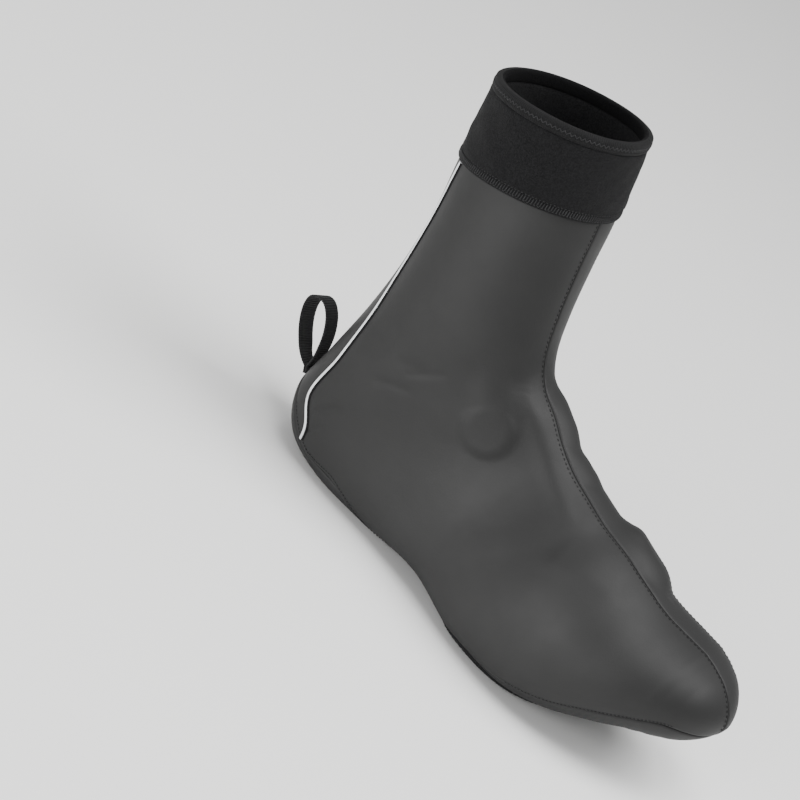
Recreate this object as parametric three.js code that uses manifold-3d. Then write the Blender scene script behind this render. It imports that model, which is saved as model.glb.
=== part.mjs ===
// Thermal overshoe, right: a stretch cover for a road cycling shoe, standing empty on its sole.
// Millimetres. +X to the toe, +Y to the inner (medial) side, +Z up, origin on the floor under the heel.
import * as THREE from 'three';
import { mergeVertices } from 'three/addons/utils/BufferGeometryUtils.js';
import Module from 'manifold-3d';

const wasm = await Module();
wasm.setup();

// Driving sizes of the form
const length = 281; // back of the heel to the tip of the toe
const heelSetback = 43; // from the origin back to the back of the heel
const ballWidth = 98; // widest part of the forefoot
const instepHeight = 110; // floor to the bend between shaft and instep
const collarHeight = 245; // floor to the front of the rim
const rimDrop = 18; // the rim is this much lower at the back
const ankleWidth = 80; // shaft, side to side
const shaftDepth = 80; // shaft, front to back
const toeSpring = 26; // rise of the sole under the toes
const tipRise = 3; // the tip stands this much above the middle of the toe box
const toeBluntness = 1.6; // exponent of the toe cap's outline

// Fabric and joints between the pieces
const wall = 2.2; // coated stretch fabric with its fleece backing
const gap = 0.3; // between neighbouring pieces

// Cuff
const cuffHeight = 42; // front of the cuff
const cuffExtraAtBack = 4; // the cuff is taller at the back
const cuffProud = 1.5; // outer face over the upper's face
const hemHeight = 8; // lap of the cuff over the upper
const bindingHeight = 6; // bound rim at the collar
const bindingProud = 0.7; // outer face over the cuff's face

// Cleat opening, an oval in plan
const openingCentre = 133; // from the origin
const openingAside = -6; // the middle of the ball lies to the lateral side of the heel
const openingLength = 74;
const openingWidth = 69;
const ringWidth = 8.5; // elastic binding round the opening
const ringProud = 0.8; // its face over the sole's fabric

// Strip under the arch and up the heel
const stripWidth = 56; // at its widest, under the heel
const stripTopWidth = 28; // at the pull loop
const stripTop = 33; // its top end, above the floor, where the loop is sewn in

// Reflective piping in the two back seams
const pipingWidth = 2.4;
const pipingHeight = 0.9;

// Pull loop of woven tape
const tapeWidth = 11;
const tapeThickness = 1.1;
const loopHeight = 37;
const loopBulge = 11; // how far the curve of each strand is pulled out
const loopStem = 4; // sewn end between heel and loop
const loopLean = 27; // degrees, backwards
const loopTwist = 22; // degrees about the vertical, above its foot

// Mesh steps
const stepsPerRow = 3; // outer face, between two table rows
const linerStepsPerRow = 2; // inner face
const toeSteps = 8;
const ringSteps = 36; // round the outer face
const linerRingSteps = 28;
const bindingStepsPerRow = 4; // binding of the cleat opening
const bindingRingSteps = 48;
const pipingSteps = 30;
const stripSteps = 16; // along each edge of the strip

// Heights in the tables: 0 to 1 is the floor to the instep, 1 to 2 the instep to the collar.
function heightAt(share) {
  if (share <= 1) return share * instepHeight;
  return instepHeight + (share - 1) * (collarHeight - instepHeight);
}

// Rows of the form, from the collar down the shaft and along the foot to the toe box. Each row is a closed
// section between a point of the front line and a point of the back and sole line.
// Shaft rows: middle as a share of length, depth of shaftDepth, front and back height by heightAt, the parts
// of the rim's drop and of the cuff's height that come off them, half widths and shift of ankleWidth.
const shaftTable = [
  { middle: -0.062, depth: 0.946, front: 2, back: 2, rim: 1, cuff: 0,
    lateral: 0.485, medial: 0.515, shift: -0.02 },
  { middle: -0.028, depth: 0.993, front: 2, back: 2, rim: 1, cuff: 1,
    lateral: 0.488, medial: 0.516, shift: -0.005 },
  { middle: -0.008, depth: 0.986, front: 1.49, back: 1.308, rim: 0, cuff: 0,
    lateral: 0.496, medial: 0.518, shift: 0.004 },
  { middle: 0.009, depth: 1.024, front: 1.293, back: 1.064, rim: 0, cuff: 0,
    lateral: 0.495, medial: 0.512, shift: 0.009 },
  { middle: 0.0214, depth: 1.117, front: 1.144, back: 0.783, rim: 0, cuff: 0,
    lateral: 0.479, medial: 0.494, shift: 0.011 },
];
// Foot rows: x of the front and sole point as shares of length, their heights by heightAt, lift as a share of
// toeSpring, half widths and shift of ballWidth, level of the widest line, roundness of upper and lower half.
const footTable = [
  { topX: 0.216, top: 1.051, soleX: -0.146, sole: 0.487, lift: 0, lateral: 0.374, medial: 0.392, shift: 0.010,
    widest: 0.46, over: 2.1, under: 2.3 },
  { topX: 0.264, top: 1.0, soleX: -0.153, sole: 0.237, lift: 0, lateral: 0.361, medial: 0.383, shift: 0.012,
    widest: 0.44, over: 2.1, under: 2.5 },
  { topX: 0.311, top: 0.943, soleX: -0.109, sole: 0.056, lift: 0, lateral: 0.352, medial: 0.374, shift: 0.015,
    widest: 0.40, over: 2.1, under: 2.8 },
  { topX: 0.358, top: 0.893, soleX: -0.021, sole: -0.014, lift: 0, lateral: 0.358, medial: 0.377, shift: 0.016,
    widest: 0.38, over: 2.1, under: 3.0 },
  { topX: 0.408, top: 0.861, soleX: 0.109, sole: -0.011, lift: 0, lateral: 0.379, medial: 0.388, shift: 0.012,
    widest: 0.36, over: 2.1, under: 3.0 },
  { topX: 0.4615, top: 0.83, soleX: 0.243, sole: 0.027, lift: 0, lateral: 0.432, medial: 0.408, shift: -0.007,
    widest: 0.36, over: 2.1, under: 3.0 },
  { topX: 0.521, top: 0.808, soleX: 0.369, sole: -0.016, lift: 0, lateral: 0.505, medial: 0.447, shift: -0.028,
    widest: 0.36, over: 2.1, under: 3.3 },
  { topX: 0.581, top: 0.765, soleX: 0.487, sole: -0.018, lift: 0, lateral: 0.545, medial: 0.482, shift: -0.033,
    widest: 0.36, over: 2.1, under: 3.3 },
  { topX: 0.64, top: 0.68, soleX: 0.583, sole: -0.002, lift: 0.15, lateral: 0.54, medial: 0.482, shift: -0.020,
    widest: 0.38, over: 2.1, under: 3.0 },
  { topX: 0.6936, top: 0.554, soleX: 0.672, sole: 0, lift: 0.59, lateral: 0.497, medial: 0.451, shift: 0,
    widest: 0.42, over: 2.1, under: 2.8 },
  { topX: 0.7395, top: 0.443, soleX: 0.744, sole: 0, lift: 1, lateral: 0.43, medial: 0.40, shift: 0.018,
    widest: 0.46, over: 2.1, under: 2.5 },
];

// Soft bumps that the covered shoe pushes into the fabric: row and angle of the middle, radius and height as
// shares of ballWidth.
const bumpTable = [
  { row: 6.6, angle: 50, radius: 0.173, height: 0.0224 }, // lace dial
  { row: 6.1, angle: -16, radius: 0.204, height: 0.0245 }, // top of the tongue
  { row: 11.3, angle: -18, radius: 0.245, height: 0.0265 }, // end of a strap
];

// Half width of the back panel between the pipings, by row, as a share of the width that it follows.
const pipingTable = [
  { row: 1.0, offset: 0.312, of: ankleWidth },
  { row: 2.0, offset: 0.278, of: ankleWidth },
  { row: 3.0, offset: 0.275, of: ankleWidth },
  { row: 4.0, offset: 0.31, of: ankleWidth },
  { row: 5.0, offset: 0.286, of: ballWidth },
  { row: 6.0, offset: 0.282, of: ballWidth },
  { row: 7.1, offset: 0.274, of: ballWidth },
];

// Half width of the strip, by its place between the heel's turn (0) and the middle of the opening (1), as a
// share of stripWidth.
const stripTable = [
  { along: 0, half: 0.45 },
  { along: 0.13, half: 0.5 },
  { along: 0.4, half: 0.36 },
  { along: 0.75, half: 0.32 },
  { along: 1, half: 0.34 },
];

// Toe seam: its height between the sole line (0) and the widest line (1) of each row.
const toeSeamTable = [
  { row: 12, level: 0.29 },
  { row: 13, level: 0.46 },
  { row: 14, level: 0.58 },
  { row: 15, level: 0.64 },
  { row: 15.2, level: 0.79 },
  { row: 15.4, level: 0.74 },
  { row: 15.6, level: 0.5 },
];

const shaftWidest = 0.5; // the shaft is widest halfway between front and back
const shaftRoundness = 2.1; // exponent of its section, 2 is an ellipse

const rows = [
  ...shaftTable.map((r) => [r.middle * length + (r.depth * shaftDepth) / 2,
    heightAt(r.front) - r.cuff * cuffHeight,
    r.middle * length - (r.depth * shaftDepth) / 2,
    heightAt(r.back) - r.rim * rimDrop - r.cuff * (cuffHeight + cuffExtraAtBack),
    r.lateral * ankleWidth, r.medial * ankleWidth, r.shift * ankleWidth,
    shaftWidest, shaftRoundness, shaftRoundness]),
  ...footTable.map((r) => [r.topX * length, heightAt(r.top) + r.lift * toeSpring, r.soleX * length,
    heightAt(r.sole) + r.lift * toeSpring, r.lateral * ballWidth, r.medial * ballWidth, r.shift * ballWidth,
    r.widest, r.over, r.under]),
];
const lastRow = rows.length - 1;
const tip = lastRow + 1; // the toe cap runs from the last row to here
const waistRow = 8; // the sole behind the cleat opening
const smallest = 0.002; // the last section of the toe cap, as a share of the last row

// Smooth curve through the rows, straight on past both ends.
function rowAt(u) {
  const i = Math.min(Math.max(Math.floor(u), 0), lastRow - 1);
  const t = u - i;
  const at = (k, c) => {
    if (k < 0) return 2 * rows[0][c] - rows[1][c];
    if (k > lastRow) return 2 * rows[lastRow][c] - rows[lastRow - 1][c];
    return rows[k][c];
  };
  return rows[0].map((_, c) => {
    const [a, b, d, e] = [at(i - 1, c), at(i, c), at(i + 1, c), at(i + 2, c)];
    return 0.5 * (2 * b + (d - a) * t + (2 * a - 5 * b + 4 * d - e) * t * t + (3 * b - a - 3 * d + e) * t ** 3);
  });
}

// The section at u, with the toe cap's sections shrinking to the tip.
function sectionAt(u) {
  const row = rowAt(Math.min(u, lastRow));
  const [topX, topZ, soleX, soleZ, lateral, medial, shift, widest, over, under] = row;
  const middle = { x: soleX + (topX - soleX) * widest, z: soleZ + (topZ - soleZ) * widest };
  const along = Math.sin((Math.max(u - lastRow, 0) * Math.PI) / 2);
  const shrink = Math.max((1 - along ** toeBluntness) ** (1 / toeBluntness), smallest);
  return {
    cx: middle.x + (length - heelSetback - middle.x) * along,
    cz: middle.z + tipRise * along,
    shift, over, under,
    top: [(topX - middle.x) * shrink, (topZ - middle.z) * shrink],
    sole: [(soleX - middle.x) * shrink, (soleZ - middle.z) * shrink],
    lateral: lateral * shrink,
    medial: medial * shrink,
  };
}

// Angle 0 is the front or top line, 90 the lateral side, 180 the back or sole line, 270 the medial side.
function plainPoint(u, angle) {
  const s = sectionAt(u);
  const c = Math.cos(angle);
  const k = Math.sin(angle);
  const power = c >= 0 ? s.over : s.under;
  const radius = (Math.abs(c) ** power + Math.abs(k) ** power) ** (-1 / power);
  const toward = c >= 0 ? s.top : s.sole;
  const h = Math.abs(radius * c);
  const halfWidth = k >= 0 ? s.lateral : s.medial;
  return new THREE.Vector3(s.cx + toward[0] * h, s.shift - halfWidth * radius * k, s.cz + toward[1] * h);
}

const bumps = bumpTable.map((b) => ({
  centre: plainPoint(b.row, THREE.MathUtils.degToRad(b.angle)),
  radius: b.radius * ballWidth,
  height: b.height * ballWidth,
}));

// Point of the form at the given distance outside its face, never below the floor.
function formPoint(u, angle, outside) {
  const step = 0.02;
  const v = Math.min(u, tip - step);
  const p = plainPoint(u, angle);
  const along = plainPoint(v + step, angle).sub(plainPoint(v - step, angle));
  const around = plainPoint(v, angle + step).sub(plainPoint(v, angle - step));
  const normal = around.cross(along).normalize();
  let lift = outside;
  for (const b of bumps) {
    const share = Math.min(p.distanceTo(b.centre) / b.radius, 1);
    lift += b.height * (1 - share * share) ** 2;
  }
  p.addScaledVector(normal, lift);
  p.z = Math.max(p.z, Math.max(-outside, 0));
  return p;
}

// Angle on the back and sole half of a row where the half width is y (lateral is positive).
function angleAtWidth(u, y) {
  const s = sectionAt(u);
  const share = Math.min(Math.abs(y) / (y > 0 ? s.lateral : s.medial), 0.999);
  const h = (1 - share ** s.under) ** (1 / s.under);
  return Math.PI - Math.sign(y) * Math.atan2(share, h);
}

function solidFrom(positions, triangles) {
  const geometry = new THREE.BufferGeometry();
  geometry.setAttribute('position', new THREE.Float32BufferAttribute(positions, 3));
  geometry.setIndex(triangles);
  return solidOf(geometry);
}

function solidOf(geometry) {
  const bare = geometry.clone();
  for (const name of Object.keys(bare.attributes)) if (name !== 'position') bare.deleteAttribute(name);
  const merged = mergeVertices(bare, 1e-4);
  return new wasm.Manifold(new wasm.Mesh({
    numProp: 3,
    vertProperties: new Float32Array(merged.attributes.position.array),
    triVerts: new Uint32Array(merged.index.array),
  }));
}

// Closed surface over rings of points, fanned shut at each end.
function loft(rings) {
  const count = rings[0].length;
  const positions = rings.flat().flatMap((p) => [p.x, p.y, p.z]);
  const triangles = [];
  for (let i = 0; i + 1 < rings.length; i += 1) {
    for (let j = 0; j < count; j += 1) {
      const a = i * count + j;
      const b = i * count + ((j + 1) % count);
      triangles.push(a, b, a + count, b, b + count, a + count);
    }
  }
  const ends = [[rings[0], 0, false], [rings[rings.length - 1], (rings.length - 1) * count, true]];
  for (const [ring, base, last] of ends) {
    const middle = ring.reduce((sum, p) => sum.add(p), new THREE.Vector3()).divideScalar(count);
    const hub = positions.length / 3;
    positions.push(middle.x, middle.y, middle.z);
    for (let j = 0; j < count; j += 1) {
      const a = base + j;
      const b = base + ((j + 1) % count);
      triangles.push(...(last ? [a, b, hub] : [b, a, hub]));
    }
  }
  return solidFrom(positions, triangles);
}

function formSolid(outside, start, perRow, around) {
  const rings = [];
  const count = Math.round((lastRow - start) * perRow);
  for (let i = 0; i <= count; i += 1) rings.push(start + ((lastRow - start) * i) / count);
  for (let i = 1; i <= toeSteps; i += 1) rings.push(lastRow + i / toeSteps);
  const ring = (u) => Array.from({ length: around }, (_, j) => (
    formPoint(u, (j * 2 * Math.PI) / around, outside)));
  return loft(rings.map(ring));
}

// Closed band round the shaft: its section is a closed list of [row, distance outside the form].
function band(section, around) {
  const positions = [];
  const triangles = [];
  const n = section.length;
  for (let j = 0; j < around; j += 1) {
    for (const [u, outside] of section) {
      const p = formPoint(u, (j * 2 * Math.PI) / around, outside);
      positions.push(p.x, p.y, p.z);
    }
    for (let i = 0; i < n; i += 1) {
      const a = j * n + i;
      const b = j * n + ((i + 1) % n);
      const c = ((j + 1) % around) * n + i;
      const d = ((j + 1) % around) * n + ((i + 1) % n);
      triangles.push(a, b, c, b, d, c);
    }
  }
  return solidFrom(positions, triangles);
}

// Prism of an outline, with map taking each of its points to the part's frame.
function prism(outline, depth, map) {
  const geometry = new THREE.ExtrudeGeometry(new THREE.Shape(outline), { depth, bevelEnabled: false });
  geometry.applyMatrix4(map);
  return solidOf(geometry);
}

const point = (x, y) => new THREE.Vector2(x, y);
const below = 5; // cutters start this far under the floor
const soleDepth = instepHeight * 0.18; // and stop inside the shoe, clear of its sides and top

// Upright oval through the sole, larger than the opening by extra.
function ovalCutter(extra) {
  const steps = 48;
  const outline = Array.from({ length: steps }, (_, i) => {
    const a = (i * 2 * Math.PI) / steps;
    return point(openingCentre + (openingLength / 2 + extra) * Math.cos(a),
      openingAside + (openingWidth / 2 + extra) * Math.sin(a));
  });
  return prism(outline, below + soleDepth, new THREE.Matrix4().makeTranslation(0, 0, -below));
}

// Everything under the toe seam, forward of the middle of the cleat opening.
function toeCutter(extra) {
  const seam = toeSeamTable.map(({ row, level }) => {
    const s = sectionAt(row);
    return point(s.cx + s.sole[0] * (1 - level), s.cz + s.sole[1] * (1 - level) + extra);
  });
  const start = point(openingCentre - extra, seam[0].y);
  const end = point(seam[seam.length - 1].x + ringWidth, seam[seam.length - 1].y);
  const outline = [start, ...seam.filter((p) => p.x > start.x + 1), end, point(end.x, -below),
    point(start.x, -below)];
  const sideways = new THREE.Matrix4().makeRotationX(Math.PI / 2).setPosition(0, ballWidth, 0);
  return prism(outline.reverse(), 2 * ballWidth, sideways);
}

// The strip: a run under the arch that is narrow in the waist, and a tongue up the back of the heel that
// narrows to the loop.
function stripCutter(extra) {
  const turn = -heelSetback * 0.25;
  const edge = (side) => new THREE.SplineCurve(stripTable.map(({ along, half }) => (
    point(turn + (openingCentre - turn) * along, openingAside * along + side * (half * stripWidth + extra)))))
    .getPoints(stripSteps);
  const run = prism([...edge(-1), ...edge(1).reverse()], below + soleDepth,
    new THREE.Matrix4().makeTranslation(0, 0, -below));
  const heelHalf = stripTable[0].half * stripWidth + extra;
  const topHalf = stripTopWidth / 2 + extra;
  const tongue = new THREE.Shape();
  const turnUp = stripTop * 0.15;
  const flare = stripTop * 0.5;
  tongue.moveTo(-heelHalf, -below);
  tongue.lineTo(heelHalf, -below);
  tongue.lineTo(heelHalf, turnUp);
  tongue.quadraticCurveTo(heelHalf, flare, topHalf, stripTop + extra);
  tongue.lineTo(-topHalf, stripTop + extra);
  tongue.quadraticCurveTo(-heelHalf, flare, -heelHalf, turnUp);
  const depth = heelSetback * 1.5 + turn;
  const frame = new THREE.Matrix4().makeBasis(new THREE.Vector3(0, 1, 0), new THREE.Vector3(0, 0, 1),
    new THREE.Vector3(1, 0, 0)).setPosition(turn - depth, 0, 0);
  const rise = solidOf(new THREE.ExtrudeGeometry(tongue, { depth, bevelEnabled: false, curveSegments: 6 })
    .applyMatrix4(frame));
  return run.add(rise);
}

// A ridge along the back seam: a flat section that follows the form from the cuff to the heel.
function pipingSolid(side) {
  const first = 1 + (2 * gap) / cuffHeight;
  const last = pipingTable[pipingTable.length - 1].row;
  const rings = [];
  for (let i = 0; i <= pipingSteps; i += 1) {
    const u = first + ((last - first) * i) / pipingSteps;
    const k = Math.max(pipingTable.findIndex((r) => r.row >= u), 1);
    const [a, b] = [pipingTable[k - 1], pipingTable[k]];
    const share = (u - a.row) / (b.row - a.row);
    const offset = a.offset * a.of * (1 - share) + b.offset * b.of * share;
    const inner = angleAtWidth(u, side * (offset - pipingWidth / 2));
    const outer = angleAtWidth(u, side * (offset + pipingWidth / 2));
    const ring = [[inner, gap], [inner, pipingHeight * 0.7 + gap], [(inner + outer) / 2, pipingHeight + gap],
      [outer, pipingHeight * 0.7 + gap], [outer, gap]].map(([angle, outside]) => formPoint(u, angle, outside));
    rings.push(side > 0 ? ring.reverse() : ring);
  }
  return loft(rings);
}

function pullLoopSolid() {
  const half = tapeThickness;
  const shape = new THREE.Shape();
  shape.moveTo(half, -loopStem);
  shape.lineTo(half, 0);
  shape.bezierCurveTo(loopBulge + half, loopHeight * 0.32, loopBulge + half, loopHeight, 0, loopHeight);
  shape.bezierCurveTo(-loopBulge - half, loopHeight, -loopBulge - half, loopHeight * 0.32, -half, 0);
  shape.lineTo(-half, -loopStem);
  const hole = new THREE.Path();
  const eye = tapeThickness * 2; // the two strands part here
  const top = loopHeight - tapeThickness;
  hole.moveTo(0, eye);
  hole.bezierCurveTo(loopBulge - half, loopHeight * 0.36, loopBulge - half, top, 0, top);
  hole.bezierCurveTo(-loopBulge + half, top, -loopBulge + half, loopHeight * 0.36, 0, eye);
  shape.holes.push(hole);
  const extrusion = { depth: tapeWidth, bevelEnabled: false, curveSegments: 12 };
  const geometry = new THREE.ExtrudeGeometry(shape, extrusion);
  geometry.translate(0, 0, -tapeWidth / 2);
  const lean = THREE.MathUtils.degToRad(loopLean);
  const up = new THREE.Vector3(-Math.sin(lean), 0, Math.cos(lean));
  const seat = seatOfLoop();
  const place = geometry.attributes.position;
  for (let i = 0; i < place.count; i += 1) {
    const [across, height, aside] = [place.getX(i), place.getY(i), place.getZ(i)];
    const twist = THREE.MathUtils.degToRad(loopTwist) * THREE.MathUtils.smoothstep(height, 0, loopHeight / 3);
    const width = new THREE.Vector3(-Math.sin(twist), -Math.cos(twist), 0);
    const side = up.clone().cross(width).normalize();
    const p = seat.clone().addScaledVector(side, across).addScaledVector(up, height);
    p.addScaledVector(width, aside);
    place.setXYZ(i, p.x, p.y, p.z);
  }
  return solidOf(geometry);
}

// Middle of the loop's foot, a stem's length off the back of the heel.
function seatOfLoop() {
  let low = 3;
  let high = 8;
  for (let i = 0; i < 30; i += 1) {
    const u = (low + high) / 2;
    if (formPoint(u, Math.PI, 0).z > stripTop) low = u; else high = u;
  }
  const lean = THREE.MathUtils.degToRad(loopLean);
  return formPoint(low, Math.PI, 2 * gap + loopStem * Math.sin(lean) + tapeThickness * Math.cos(lean));
}

// Pieces
const fabricTop = 1 - hemHeight / cuffHeight; // the upper ends under the cuff's hem
const outer = formSolid(0, fabricTop, stepsPerRow, ringSteps);
const inner = formSolid(-wall, fabricTop - 0.3, linerStepsPerRow, linerRingSteps);
const shell = outer.subtract(inner);
const oval = ovalCutter(ringWidth + gap);

const upper = shell.subtract(oval).subtract(toeCutter(gap)).subtract(stripCutter(gap));
const toePanel = shell.intersect(toeCutter(0)).subtract(oval);
const heelStrip = shell.intersect(stripCutter(0)).subtract(oval).subtract(toeCutter(gap));
const ringShell = formSolid(ringProud, waistRow, bindingStepsPerRow, bindingRingSteps)
  .subtract(formSolid(-wall - ringProud / 2, waistRow - 1, linerStepsPerRow, linerRingSteps));
const ring = ringShell.intersect(ovalCutter(ringWidth)).subtract(ovalCutter(0));

const cuffRise = (height) => height / cuffHeight; // millimetres up the cuff as a part of a row
const cuffTop = cuffRise(bindingHeight);
const hem = 1 - cuffRise(hemHeight + gap);
const cuff = band([
  [1, gap], [1, cuffProud * 0.8], [1 - cuffRise(2), cuffProud], [0.6, cuffProud], [0.35, cuffProud],
  [cuffTop, cuffProud], [cuffTop, -wall], [0.35, -wall], [0.6, -wall], [hem, -wall], [hem, gap],
], ringSteps);
const rimOut = cuffProud + bindingProud;
const rimIn = -wall - bindingProud * 0.6;
const binding = band([
  [cuffTop - cuffRise(gap), rimOut * 0.9], [cuffTop / 2, rimOut], [cuffRise(1), rimOut * 0.8],
  [0, rimOut * 0.2], [0, -wall * 0.6], [cuffRise(1), rimIn], [cuffTop - cuffRise(gap), rimIn],
], ringSteps);

function material(color, roughness, metalness = 0) {
  return new THREE.MeshStandardMaterial({ color, roughness, metalness });
}
const coated = material('#3f4041', 0.5);
const soleCoated = material('#444546', 0.55);
const fleece = material('#1f2021', 0.95);
const elastic = material('#1b1c1d', 0.9);
const reflective = material('#c9cbcc', 0.35, 0.1);
const woven = material('#222324', 0.85);

const overshoe = new THREE.Group();

function addPiece(name, solid, finish) {
  const mesh = solid.getMesh();
  const geometry = new THREE.BufferGeometry();
  geometry.setAttribute('position', new THREE.Float32BufferAttribute(mesh.vertProperties, 3));
  geometry.setIndex(new THREE.Uint32BufferAttribute(mesh.triVerts, 1));
  geometry.computeVertexNormals();
  const piece = new THREE.Mesh(geometry, finish);
  piece.name = name;
  overshoe.add(piece);
}

addPiece('upper', upper, coated);
addPiece('toe_sole_panel', toePanel, soleCoated);
addPiece('heel_sole_strip', heelStrip, soleCoated);
addPiece('cleat_opening_binding', ring, elastic);
addPiece('cuff', cuff, fleece);
addPiece('cuff_binding', binding, elastic);
addPiece('piping_lateral', pipingSolid(1), reflective);
addPiece('piping_medial', pipingSolid(-1), reflective);
addPiece('pull_loop', pullLoopSolid(), woven);

export default overshoe;
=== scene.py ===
import math

import bpy
import numpy as np
from mathutils import Matrix, Vector
from mathutils.kdtree import KDTree


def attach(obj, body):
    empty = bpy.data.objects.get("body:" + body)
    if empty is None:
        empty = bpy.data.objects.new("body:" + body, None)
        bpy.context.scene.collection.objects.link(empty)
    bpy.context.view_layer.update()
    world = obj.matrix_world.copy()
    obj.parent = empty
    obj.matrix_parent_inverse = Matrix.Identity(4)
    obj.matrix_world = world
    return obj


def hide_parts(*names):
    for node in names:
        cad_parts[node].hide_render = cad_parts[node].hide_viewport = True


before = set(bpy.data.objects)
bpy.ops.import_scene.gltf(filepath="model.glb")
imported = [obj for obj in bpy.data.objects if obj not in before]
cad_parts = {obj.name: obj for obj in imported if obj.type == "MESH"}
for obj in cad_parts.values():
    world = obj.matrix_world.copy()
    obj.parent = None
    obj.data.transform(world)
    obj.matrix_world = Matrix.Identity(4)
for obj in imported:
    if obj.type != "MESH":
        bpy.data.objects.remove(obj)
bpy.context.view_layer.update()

# Thermal overshoe, right. Shapes are worked out in millimetres and written to the meshes in metres.
mm = 0.001
print("frame loaded")

# The form of the covered shoe: the same sizes, rows and curves as the solids
form = {
    "length": 281, "heelSetback": 43, "ballWidth": 98, "instepHeight": 110, "collarHeight": 245,
    "rimDrop": 18, "ankleWidth": 80, "shaftDepth": 80, "toeSpring": 26, "tipRise": 3,
    "toeBluntness": 1.6, "cuffHeight": 42, "cuffExtraAtBack": 4, "wall": 2.2, "gap": 0.3,
    "hemHeight": 8, "bindingHeight": 6, "cuffProud": 1.5, "bindingProud": 0.7,
    "openingCentre": 133, "openingAside": -6, "openingLength": 74, "openingWidth": 69, "ringWidth": 8.5,
    "stripWidth": 56, "stripTopWidth": 28, "stripTop": 33,
}

# middle, depth, front height, back height, part of the rim's drop, part of the cuff, lateral, medial, shift
shaftRows = [
    (-0.062, 0.946, 2, 2, 1, 0, 0.485, 0.515, -0.02),
    (-0.028, 0.993, 2, 2, 1, 1, 0.488, 0.516, -0.005),
    (-0.008, 0.986, 1.49, 1.308, 0, 0, 0.496, 0.518, 0.004),
    (0.009, 1.024, 1.293, 1.064, 0, 0, 0.495, 0.512, 0.009),
    (0.0214, 1.117, 1.144, 0.783, 0, 0, 0.479, 0.494, 0.011),
]
# top x, top height, sole x, sole height, lift, lateral, medial, shift, widest, roundness over, under
footRows = [
    (0.216, 1.051, -0.146, 0.487, 0, 0.374, 0.392, 0.010, 0.46, 2.1, 2.3),
    (0.264, 1.0, -0.153, 0.237, 0, 0.361, 0.383, 0.012, 0.44, 2.1, 2.5),
    (0.311, 0.943, -0.109, 0.056, 0, 0.352, 0.374, 0.015, 0.40, 2.1, 2.8),
    (0.358, 0.893, -0.021, -0.014, 0, 0.358, 0.377, 0.016, 0.38, 2.1, 3.0),
    (0.408, 0.861, 0.109, -0.011, 0, 0.379, 0.388, 0.012, 0.36, 2.1, 3.0),
    (0.4615, 0.83, 0.243, 0.027, 0, 0.432, 0.408, -0.007, 0.36, 2.1, 3.0),
    (0.521, 0.808, 0.369, -0.016, 0, 0.505, 0.447, -0.028, 0.36, 2.1, 3.3),
    (0.581, 0.765, 0.487, -0.018, 0, 0.545, 0.482, -0.033, 0.36, 2.1, 3.3),
    (0.64, 0.68, 0.583, -0.002, 0.15, 0.54, 0.482, -0.020, 0.38, 2.1, 3.0),
    (0.6936, 0.554, 0.672, 0, 0.59, 0.497, 0.451, 0, 0.42, 2.1, 2.8),
    (0.7395, 0.443, 0.744, 0, 1, 0.43, 0.40, 0.018, 0.46, 2.1, 2.5),
]


def heightAt(share):
    instep, collar = form["instepHeight"], form["collarHeight"]
    return share * instep if share <= 1 else instep + (share - 1) * (collar - instep)


def makeRows():
    made = []
    for middle, depth, front, back, rim, cuff, lateral, medial, shift in shaftRows:
        x, half = middle * form["length"], depth * form["shaftDepth"] / 2
        frontZ = heightAt(front) - cuff * form["cuffHeight"]
        backZ = heightAt(back) - rim * form["rimDrop"] - cuff * (form["cuffHeight"] + form["cuffExtraAtBack"])
        ankle = form["ankleWidth"]
        made.append([x + half, frontZ, x - half, backZ, lateral * ankle, medial * ankle, shift * ankle,
                     0.5, 2.1, 2.1])
    for topX, top, soleX, sole, lift, lateral, medial, shift, widest, over, under in footRows:
        rise, ball = lift * form["toeSpring"], form["ballWidth"]
        made.append([topX * form["length"], heightAt(top) + rise, soleX * form["length"],
                     heightAt(sole) + rise, lateral * ball, medial * ball, shift * ball, widest, over, under])
    return np.array(made, float)


rows = makeRows()
lastRow = len(rows) - 1
tip = lastRow + 1
padded = np.vstack([2 * rows[0] - rows[1], rows, 2 * rows[-1] - rows[-2]])


def rowAt(u):
    i = np.clip(np.floor(u).astype(int), 0, lastRow - 1)
    t = (u - i)[:, None]
    a, b, c, d = (padded[i + k] for k in range(4))
    return 0.5 * (2 * b + (c - a) * t + (2 * a - 5 * b + 4 * c - d) * t * t + (3 * b - a - 3 * c + d) * t ** 3)


def sectionsAt(u):
    r = rowAt(np.minimum(u, lastRow))
    top, sole = r[:, 0:2], r[:, 2:4]
    middle = sole + (top - sole) * r[:, 7:8]
    along = np.sin(np.clip(u - lastRow, 0, 1) * math.pi / 2)
    n = form["toeBluntness"]
    shrink = np.maximum((1 - along ** n) ** (1 / n), 0.002)
    reach = form["length"] - form["heelSetback"] - middle[:, 0]
    centre = middle + np.stack([reach * along, form["tipRise"] * along], 1)
    return {"centre": centre, "top": (top - middle) * shrink[:, None], "sole": (sole - middle) * shrink[:, None],
            "lateral": r[:, 4] * shrink, "medial": r[:, 5] * shrink, "shift": r[:, 6],
            "over": r[:, 8], "under": r[:, 9]}


# angle 0 is the top line, 90 degrees the outer side, 180 the back and sole line, 270 the inner side
def pointsAt(u, angle):
    s = sectionsAt(u)
    c, k = np.cos(angle), np.sin(angle)
    power = np.where(c >= 0, s["over"], s["under"])
    radius = (np.abs(c) ** power + np.abs(k) ** power) ** (-1 / power)
    toward = np.where((c >= 0)[:, None], s["top"], s["sole"])
    half = np.where(k >= 0, s["lateral"], s["medial"])
    xz = s["centre"] + toward * np.abs(radius * c)[:, None]
    return np.stack([xz[:, 0], s["shift"] - half * radius * k, xz[:, 1]], 1)


# Where the rows end and the toe's round cap starts, each point is evened with its neighbours along the foot
capSoftness = {"reach": 0.3, "width": 0.5}


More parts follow.
